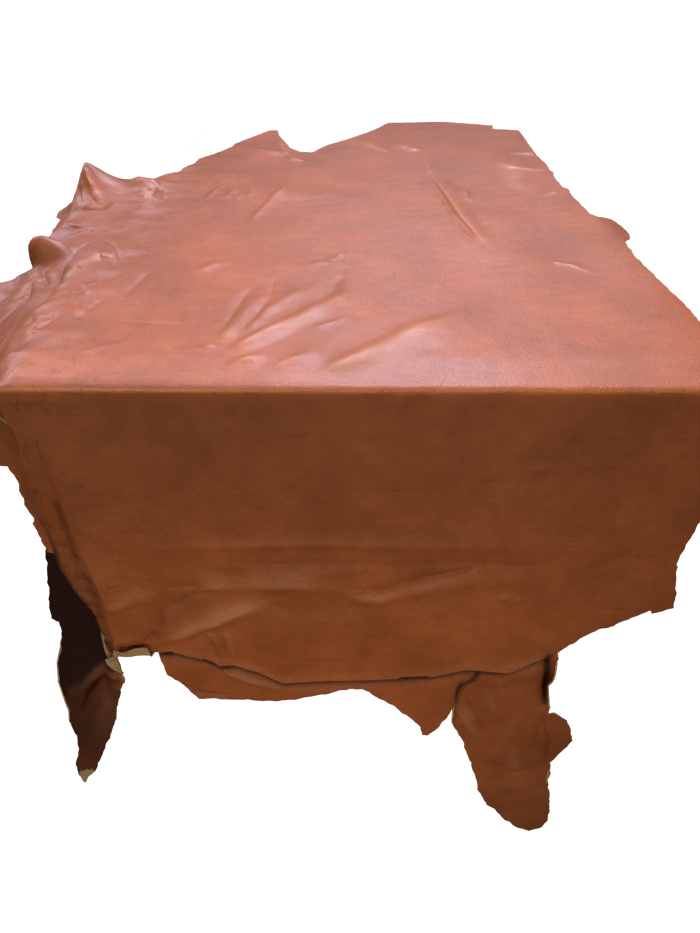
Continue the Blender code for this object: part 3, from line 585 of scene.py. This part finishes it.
def drape(u, v):
    """Where points of the flat hide lie, as rows of x, y, z, with z = 0 at the table's top face."""
    u, v, rolled = roll(u, v)
    bend = read(BEND, 1, u)
    quarter = bend * math.pi / 4
    turn = np.clip((quarter - v) / (2 * quarter), 0.0, 1.0) * math.pi / 2
    y = bend - FRONT_STANDOFF - bend * np.sin(turn) + np.maximum(v - quarter, 0.0)
    z = REST_HEIGHT - bend * (1.0 - np.cos(turn)) - np.maximum(-quarter - v, 0.0)
    rise = read(FOLD_RISE, 1, u) * bell(np.maximum(v - RISE_CREST, 0.0) / RISE_REACH)
    rise = rise - read(FOLD_RISE, 2, u) * (1.0 - smooth(v / RISE_CREST))
    z = z + rise * smooth((u - LEFT_BEND) / 0.03 + 0.6)

    over = np.maximum(LEFT_BEND - u, 0.0)
    rows = np.array(MARGIN, float)
    angle = np.radians(np.interp(v, rows[:, 0] * MM, rows[:, 1]))
    radius = np.interp(v, rows[:, 0] * MM, rows[:, 2]) * MM
    hanging = smooth(v / 0.012)
    bent = np.minimum(over / radius, angle)
    beyond = np.maximum(over - radius * angle, 0.0)
    reach = radius * np.sin(bent) + beyond * np.cos(angle)
    fall = radius * (1.0 - np.cos(bent)) + beyond * np.sin(angle)
    x = np.where(over > 0.0, LEFT_BEND - over + hanging * (over - reach), u)
    swing = smooth((FLAP_SWING_ALONG[0] - v) / FLAP_SWING_ALONG[1])
    x = x + FLAP_SWING * hanging * swing * smooth((fall - FLAP_SWING_FALL[0]) / FLAP_SWING_FALL[1])
    z = z - hanging * fall

    start, radius, low, high = (value * MM for value in CURL_END)
    in_curl = smooth((v - low) / CURL_END_FADE) * smooth((high - v) / CURL_END_FADE)
    past_end = np.maximum(start - u, 0.0) * in_curl
    curled = np.minimum(past_end / radius, CURL_END_TURN)
    straight = past_end - curled * radius
    x = x + past_end - radius * np.sin(curled) - straight * math.cos(CURL_END_TURN)
    z = z - radius * (1.0 - np.cos(curled)) - straight * math.sin(CURL_END_TURN)

    on_top = smooth((v + QUARTER) / (2 * QUARTER))
    sag = RIGHT_SAG * np.maximum(u - RIGHT_BEND, 0.0) ** 2 + FAR_SAG * np.maximum(v - FAR_BEND, 0.0) ** 2
    z = z - on_top * sag

    front, shift = front_relief(u, v)
    front = (front + rolled) * smooth(-(v + QUARTER) / 0.04)
    lift = top_relief(u, v)
    tilt = bent * hanging
    x = x + shift - lift * np.sin(tilt)
    y = y - front
    z = z + lift * np.cos(tilt)
    return np.stack((x, y, z), axis=1)


def outline():
    """The flat outline in metres: long stretches divided, the cut slightly uneven, rolled edges let out."""
    corners = np.array(BELLY + NECK + BACKBONE + PANEL_RIGHT + SHANK + FLANK + LEG + PANEL_LEFT + FLANK_EDGE,
                       float) * MM
    points, out, corner = [], [], []
    for start, end in zip(corners, np.roll(corners, -1, axis=0)):
        way = end - start
        length = np.linalg.norm(way)
        count = max(1, math.ceil(length / OUTLINE_SPACING))
        for step in range(count):
            points.append(start + way * step / count)
            out.append(np.array((-way[1], way[0])) / length)
            corner.append(step == 0)
    points, out = np.array(points), np.array(out)
    share = np.linspace(0.0, 2.0 * math.pi, len(points), endpoint=False)
    uneven = 0.0007 * np.sin(171 * share) + 0.0006 * np.sin(307 * share + 1.0) + 0.0005 * np.sin(523 * share + 2.0)
    move = np.where(corner, 0.0, uneven)
    for width, radius, _, *path in LIPS:
        across, along = beside(path, points[:, 0], points[:, 1])
        move += np.where(np.abs(across) < MM, (width - radius) * MM * faded(along, LIP_ENDS), 0.0)
    return points + out * move[:, None]


def inside(points, ring):
    """Which points lie inside the ring: those from which a ray crosses it an odd number of times."""
    x, y = points[:, :1], points[:, 1:]
    x0, y0 = ring[:, 0], ring[:, 1]
    x1, y1 = np.roll(x0, -1), np.roll(y0, -1)
    straddles = (y0 > y) != (y1 > y)
    safe = np.where(y1 == y0, 1.0, y1 - y0)
    return (straddles & (x < (x1 - x0) * (y - y0) / safe + x0)).sum(axis=1) % 2 == 1


def nearest(points, ring):
    """The distance of each point to the nearest point of the ring."""
    return np.sqrt(((points[:, None] - ring) ** 2).sum(axis=2).min(axis=1))


def spacing(u, v):
    """The distance to the next point of a row: least round the fold line, more on the table than at its edges."""
    if v < -0.2 and u < -0.17:
        return SPACING_FINE
    if v < 0.03 or u < LEFT_BEND + 0.06:
        return SPACING
    return SPACING_NEAR if v < 0.5 else SPACING_FAR


def grid_points(ring):
    """Points over the whole hide, in rows that lie close together by the bend."""
    low, high = ring.min(axis=0), ring.max(axis=0)
    points = []
    v, row = low[1], 0
    while v < high[1]:
        u = low[0] + (0.0 if abs(v) < BEND_REACH else ROW_SHIFT * (row % 2))
        while u < high[0]:
            points.append((u, v))
            u += spacing(u, v)
        v += next(gap for reach, gap in ROW_GAPS if v < reach)
        row += 1
    return np.array(points)


def crease_points():
    """Rows of points along narrow folds, the lap and the fold line, so that each has its own section."""
    made = []

    def along(path, offsets, step):
        path = np.array(path, float) * MM
        length = np.linalg.norm(np.diff(path, axis=0), axis=1)
        done = np.concatenate(([0.0], np.cumsum(length)))
        for at in np.arange(step / 2, done[-1], step):
            index = min(np.searchsorted(done, at, side="right") - 1, len(length) - 1)
            way = (path[index + 1] - path[index]) / length[index]
            here = path[index] + way * (at - done[index])
            for offset in offsets:
                made.append(here + offset * np.array((-way[1], way[0])))

    along(LAP_LINE, LAP_ROWS, 0.003)
    fold = [(across, -drop) for drop, across in FOLD_LINE if 40 < drop < 430]
    along(fold, FOLD_LINE_ROWS, 0.004)
    for _, left_width, right_width, *path in TOP_FOLDS + MARGIN_FOLDS + FRONT_FOLDS:
        half = min(left_width, right_width) * MM
        if half <= NARROW_FOLD * MM:
            along(path, [share * half for share in FOLD_ROWS], max(0.7 * half, 0.003))
    for width, radius, _, *path in LIPS:
        for offset in np.arange(-radius - 2, width - radius, 1.6):
            along(path, (offset * MM,), 0.004)
    return np.array(made)


def thin(points, least):
    """Keeps points that are at least that far apart, first come first kept."""
    kept, cells = [], {}
    for point in points:
        cell = (int(point[0] // least), int(point[1] // least))
        near = (cells.get((cell[0] + i, cell[1] + j)) for i in (-1, 0, 1) for j in (-1, 0, 1))
        if all(q is None or (q[0] - point[0]) ** 2 + (q[1] - point[1]) ** 2 > least * least for q in near):
            cells[cell] = point
            kept.append(point)
    return np.array(kept)


def in_chunks(test, points, size=4000):
    return np.concatenate([test(points[i:i + size]) for i in range(0, len(points), size)])


def filled(ring):
    """Points that fill the ring: rows along the folds, and between them the grid."""
    rows = thin(crease_points(), ROWS_APART)
    rows = rows[in_chunks(lambda p: inside(p, ring), rows)]
    rows = rows[in_chunks(lambda p: nearest(p, ring), rows) > ROWS_TO_RIM]
    grid = grid_points(ring)
    grid = grid[in_chunks(lambda p: inside(p, ring), grid)]
    grid = grid[in_chunks(lambda p: nearest(p, ring), grid) > GRID_TO_RIM]
    taken = {(int(u // GRID_TO_ROWS), int(v // GRID_TO_ROWS)) for u, v in rows}
    free = [not any((int(u // GRID_TO_ROWS) + i, int(v // GRID_TO_ROWS) + j) in taken
                    for i in (-1, 0, 1) for j in (-1, 0, 1)) for u, v in grid]
    return np.concatenate((rows, grid[np.array(free)]))


def leather_surface():
    """The grain side as a mesh, with its flat place, its paleness and painted light, its painted shade and its bare
    faces marked.
    """
    ring = outline()
    points = np.concatenate((ring, filled(ring)))
    loop = [(index, (index + 1) % len(ring)) for index in range(len(ring))]
    flat, _, faces, *_ = geometry.delaunay_2d_cdt([Vector(p) for p in points], loop, [], 1, 1e-6)
    flat = np.array([tuple(p) for p in flat])
    u, v = flat[:, 0], flat[:, 1]
    mesh = bpy.data.meshes.new("leather hide")
    mesh.from_pydata(drape(u, v).tolist(), [], faces)
    place = mesh.attributes.new("flat", "FLOAT_VECTOR", "POINT")
    place.data.foreach_set("vector", np.stack((u, v, 0 * u), axis=1).astype(np.float32).ravel())
    for name, values in (("pale_and_painted_light", pale_and_painted_light_of(u, v)), ("painted_shade", painted_shade_of(u, v))):
        mesh.attributes.new(name, "FLOAT", "POINT").data.foreach_set("value", values.astype(np.float32))
    centre = np.array([flat[list(face)].mean(axis=0) for face in faces])
    bare = np.zeros(len(faces), dtype=np.int32)
    for half, *path in BARE:
        bare[np.abs(beside(path, *centre.T)[0]) < half * MM] = 1
    mesh.polygons.foreach_set("material_index", bare)
    mesh.validate()
    return mesh


# ---- materials ----


def new_material(name):
    made = bpy.data.materials.new(name)
    made.use_nodes = True
    tree = made.node_tree
    return made, tree, tree.nodes["Principled BSDF"]


def node(tree, kind, inputs=None, **settings):
    made = tree.nodes.new(kind)
    for key, value in settings.items():
        setattr(made, key, value)
    for key, value in (inputs or {}).items():
        if isinstance(value, bpy.types.NodeSocket):
            tree.links.new(value, made.inputs[key])
        else:
            made.inputs[key].default_value = value
    return made


def scaled(tree, vector, scale):
    return node(tree, "ShaderNodeVectorMath", {0: vector, 1: scale}, operation="MULTIPLY").outputs[0]


def noise_of(tree, vector, scale, detail=3.0, roughness=0.5, distortion=0.0):
    return node(tree, "ShaderNodeTexNoise", {"Vector": vector, "Scale": scale, "Detail": detail,
                                             "Roughness": roughness, "Distortion": distortion}).outputs["Fac"]


def span(tree, value, low, high, to_low=0.0, to_high=1.0):
    return node(tree, "ShaderNodeMapRange", {"Value": value, "From Min": low, "From Max": high,
                                             "To Min": to_low, "To Max": to_high}).outputs["Result"]


def blend_colour(tree, share, first, second, mode="MIX"):
    made = node(tree, "ShaderNodeMix", {0: share}, data_type="RGBA", blend_type=mode)
    for socket, value in ((made.inputs[6], first), (made.inputs[7], second)):
        if isinstance(value, bpy.types.NodeSocket):
            tree.links.new(value, socket)
        else:
            socket.default_value = (*value, 1.0)
    return made.outputs[2]


def times(tree, first, second):
    return node(tree, "ShaderNodeMath", {0: first, 1: second}, operation="MULTIPLY").outputs[0]


def attribute(tree, name, output="Fac"):
    return node(tree, "ShaderNodeAttribute", attribute_name=name).outputs[output]


def bumped(tree, shader, height, strength, distance):
    bump = node(tree, "ShaderNodeBump", {"Height": height, "Strength": strength, "Distance": distance})
    tree.links.new(bump.outputs[0], shader.inputs["Normal"])


def belly_creases(tree, flat):
    """Broken, winding lines in the loose leather of the belly: where a noise crosses its middle value. Their dark
    colour is painted shade.
    """
    winding = noise_of(tree, scaled(tree, flat, (1.0, 0.6, 1.0)), 24.0, 2.5, 0.5, 1.5)
    off_line = node(tree, "ShaderNodeMath", {0: winding, 1: 0.5}, operation="SUBTRACT").outputs[0]
    off_line = node(tree, "ShaderNodeMath", {0: off_line}, operation="ABSOLUTE").outputs[0]
    broken = span(tree, noise_of(tree, flat, 31.0, 2.0, 0.5), 0.46, 0.60)
    across = node(tree, "ShaderNodeSeparateXYZ", {0: flat}).outputs["X"]
    on_belly = span(tree, across, -0.20, -0.40, 0.10, 1.0)
    return times(tree, times(tree, span(tree, off_line, 0.0, 0.016, 1.0, 0.0), broken), on_belly)


def grain_leather():
    made, tree, shader = new_material("grain leather")
    flat = attribute(tree, "flat", "Vector")
    pale_and_painted_light = attribute(tree, "pale_and_painted_light")
    cloud = noise_of(tree, flat, 7.0, 5.0, 0.62)
    mottle = noise_of(tree, flat, 42.0, 6.0, 0.66)
    streaks = noise_of(tree, scaled(tree, flat, (8.0, 100.0, 1.0)), 1.0, 5.0, 0.65, 0.4)
    crease = belly_creases(tree, flat)
    pores = node(tree, "ShaderNodeTexVoronoi", {"Vector": flat, "Scale": 560.0, "Randomness": 1.0},
                 feature="SMOOTH_F1").outputs["Distance"]
    colour = blend_colour(tree, span(tree, cloud, 0.38, 0.62), GROUND_DARK, GROUND_LIGHT)
    # Painted light in the colour: crests pale with stretch and the bend's painted highlight, painted shade in
    # troughs, along crease lines and from the painted shade attribute
    for share, second in ((span(tree, mottle, 0.42, 0.72, 0.0, 0.40), MOTTLE),
                          (span(tree, streaks, 0.58, 0.68, 0.0, 0.34), STREAK),
                          (span(tree, crease, 0.0, 1.0, 0.0, 0.5), CREASE_SHADE),
                          (span(tree, pale_and_painted_light, 0.1, 0.9, 0.0, 0.45), PALE_AND_HIGHLIGHT),
                          (span(tree, pale_and_painted_light, -0.1, -0.8, 0.0, 0.5), TROUGH_SHADE),
                          (attribute(tree, "painted_shade"), PAINTED_SHADE_COLOUR),
                          (span(tree, pores, 0.25, 0.75, 0.0, 0.12), PORE)):
        colour = blend_colour(tree, share, colour, second)
    tree.links.new(colour, shader.inputs["Base Color"])
    rough = noise_of(tree, flat, 60.0, 3.0, 0.6)
    tree.links.new(span(tree, rough, 0.3, 0.7, 0.34, 0.46), shader.inputs["Roughness"])
    shader.inputs["Specular IOR Level"].default_value = 0.44
    shader.inputs["Coat Weight"].default_value = 0.12
    shader.inputs["Coat Roughness"].default_value = 0.18
    fine = noise_of(tree, flat, 240.0, 4.0, 0.65)
    lines = noise_of(tree, scaled(tree, flat, (22.0, 240.0, 1.0)), 1.0, 3.0, 0.55, 0.6)
    height = times(tree, pores, 0.8)
    for texture, amount in ((fine, 0.9), (lines, 0.8), (crease, -1.6)):
        height = node(tree, "ShaderNodeMath", {0: texture, 1: amount, 2: height},
                      operation="MULTIPLY_ADD").outputs[0]
    bumped(tree, shader, height, 0.7, 0.0008)
    return made


def flesh_leather(name, dark, light, roughness):
    made, tree, shader = new_material(name)
    flat = attribute(tree, "flat", "Vector")
    cloud = noise_of(tree, flat, 9.0, 4.0, 0.6)
    fibre = noise_of(tree, flat, 420.0, 5.0, 0.7)
    colour = blend_colour(tree, span(tree, cloud, 0.35, 0.65), dark, light)
    colour = blend_colour(tree, span(tree, fibre, 0.3, 0.7, 0.0, 0.45), colour, tuple(0.55 * c for c in dark))
    tree.links.new(colour, shader.inputs["Base Color"])
    shader.inputs["Roughness"].default_value = roughness
    shader.inputs["Specular IOR Level"].default_value = 0.2
    shader.inputs["Sheen Weight"].default_value = 0.25
    shader.inputs["Sheen Roughness"].default_value = 0.6
    bumped(tree, shader, fibre, 0.6, 0.0008)
    return made


def white_laminate():
    made, tree, shader = new_material("white laminate")
    place = node(tree, "ShaderNodeTexCoord").outputs["Object"]
    cloud = noise_of(tree, place, 4.0, 3.0, 0.55)
    scuff = noise_of(tree, scaled(tree, place, (30.0, 9.0, 9.0)), 1.0, 5.0, 0.7)
    colour = blend_colour(tree, span(tree, cloud, 0.35, 0.65), (0.80, 0.80, 0.79), (0.85, 0.85, 0.845))
    colour = blend_colour(tree, span(tree, scuff, 0.62, 0.80, 0.0, 0.3), colour, (0.66, 0.65, 0.63))
    tree.links.new(colour, shader.inputs["Base Color"])
    tree.links.new(span(tree, scuff, 0.3, 0.7, 0.30, 0.46), shader.inputs["Roughness"])
    orange_peel = noise_of(tree, place, 700.0, 2.0, 0.5)
    bumped(tree, shader, orange_peel, 0.15, 0.0003)
    return made


def painted_timber(name, stretch):
    """White paint over timber, whose grain runs along the axis with the smallest stretch."""
    made, tree, shader = new_material(name)
    place = node(tree, "ShaderNodeTexCoord").outputs["Object"]
    grain = noise_of(tree, scaled(tree, place, stretch), 1.0, 6.0, 0.62, 0.8)
    cloud = noise_of(tree, place, 7.0, 3.0, 0.5)
    colour = blend_colour(tree, span(tree, cloud, 0.35, 0.65), (0.74, 0.735, 0.71), (0.81, 0.805, 0.785))
    colour = blend_colour(tree, span(tree, grain, 0.56, 0.74, 0.0, 0.28), colour, (0.58, 0.55, 0.50))
    tree.links.new(colour, shader.inputs["Base Color"])
    tree.links.new(span(tree, grain, 0.3, 0.7, 0.42, 0.60), shader.inputs["Roughness"])
    bumped(tree, shader, grain, 0.35, 0.0010)
    return made


# ---- the pieces ----


def leather_hide():
    """The grain side, thickened: its back is the flesh side and its rim the cut edge."""
    mesh = leather_surface()
    piece = bpy.data.objects.new("leather_hide", mesh)
    bpy.context.scene.collection.objects.link(piece)
    for finish in (grain_leather(),
                   flesh_leather("flesh side", (0.30, 0.17, 0.075), (0.42, 0.26, 0.125), 0.9),
                   flesh_leather("cut edge", (0.36, 0.20, 0.085), (0.52, 0.34, 0.17), 0.85)):
        mesh.materials.append(finish)
    thick = piece.modifiers.new("leather thickness", "SOLIDIFY")
    thick.thickness = HIDE_THICKNESS
    thick.offset = 0.0
    thick.material_offset = 1
    thick.material_offset_rim = 2
    graph = bpy.context.evaluated_depsgraph_get()
    solid = bpy.data.meshes.new_from_object(piece.evaluated_get(graph))
    piece.modifiers.clear()
    piece.data = solid
    bpy.data.meshes.remove(mesh)
    solid.transform(Matrix.Translation(ORIGIN))
    solid.shade_smooth()
    solid.set_sharp_from_angle(angle=math.radians(62))
    return piece


def studio_cove():
    """A pale floor that curves up into a wall all round. It lights nothing, so the lamps alone set the light."""
    curve = np.linspace(0.1, math.pi / 2, COVE_STEPS)
    profile = [(0.0, 0.0), (FLOOR_RADIUS, 0.0)]
    profile += [(FLOOR_RADIUS + COVE_RADIUS * math.sin(t), COVE_RADIUS - COVE_RADIUS * math.cos(t)) for t in curve]
    profile += [(FLOOR_RADIUS + COVE_RADIUS, height) for height in WALL_HEIGHTS]
    turns = [2 * math.pi * k / COVE_SIDES for k in range(COVE_SIDES)]
    points = [(radius * math.cos(turn), radius * math.sin(turn), height)
              for radius, height in profile for turn in turns]
    faces = []
    for ring in range(len(profile) - 1):
        for k in range(COVE_SIDES):
            here, there = ring * COVE_SIDES + k, ring * COVE_SIDES + (k + 1) % COVE_SIDES
            faces.append((here, there, there + COVE_SIDES, here + COVE_SIDES))
    mesh = bpy.data.meshes.new("cove")
    mesh.from_pydata(points, [], faces)
    mesh.shade_smooth()
    made, _, shader = new_material("pale floor")
    shader.inputs["Base Color"].default_value = (0.34, 0.34, 0.34, 1.0)
    shader.inputs["Roughness"].default_value = 0.9
    shader.inputs["Specular IOR Level"].default_value = 0.0
    shader.inputs["Emission Color"].default_value = (1.0, 1.0, 1.0, 1.0)
    shader.inputs["Emission Strength"].default_value = 1.0
    mesh.materials.append(made)
    cove = bpy.data.objects.new("cove", mesh)
    cove.visible_diffuse = False
    cove.visible_glossy = False
    bpy.context.scene.collection.objects.link(cove)


def lamp(name, place, aim, size, watts, colour, reflects):
    data = bpy.data.lights.new(name, "AREA")
    data.shape = "RECTANGLE"
    data.size, data.size_y = size
    data.energy = watts
    data.color = colour
    made = bpy.data.objects.new(name, data)
    made.location = ORIGIN + Vector(place)
    made.rotation_euler = (ORIGIN + Vector(aim) - made.location).to_track_quat("-Z", "Y").to_euler()
    made.visible_camera = False
    made.visible_glossy = reflects
    bpy.context.scene.collection.objects.link(made)


def camera():
    data = bpy.data.cameras.new("camera")
    data.sensor_fit = "VERTICAL"
    data.sensor_height = 36.0
    data.lens = FOCAL_LENGTH / FRAME_HEIGHT * data.sensor_height
    data.clip_end = 100.0
    made = bpy.data.objects.new("camera", data)
    made.location = ORIGIN + Vector(CAMERA_PLACE)
    made.rotation_euler = (math.radians(90.0 - CAMERA_DOWN), 0.0, 0.0)
    bpy.context.scene.collection.objects.link(made)
    bpy.context.scene.camera = made


def surroundings():
    """A dim, warm room round the lamps, and colours shown as they are."""
    world = bpy.data.worlds.new("studio")
    world.use_nodes = True
    background = world.node_tree.nodes["Background"]
    background.inputs["Color"].default_value = WORLD_COLOUR
    background.inputs["Strength"].default_value = WORLD_STRENGTH
    bpy.context.scene.world = world
    bpy.context.scene.view_settings.view_transform = "Standard"


hide = leather_hide()
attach(hide, "root")
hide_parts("hide")

laminate = white_laminate()
upright = painted_timber("painted uprights", (60.0, 60.0, 5.0))
crosswise = painted_timber("painted beams", (5.0, 60.0, 60.0))
lengthwise = painted_timber("painted feet", (60.0, 5.0, 60.0))
for name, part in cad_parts.items():
    if name == "hide":
        continue
    if name == "table_top":
        finish = laminate
    elif name.endswith("post"):
        finish = upright
    elif name.endswith("foot") or name == "stretcher":
        finish = lengthwise
    else:
        finish = crosswise
    part.material_slots[0].material = finish

studio_cove()
for row in LAMPS:
    lamp(*row)
surroundings()
camera()
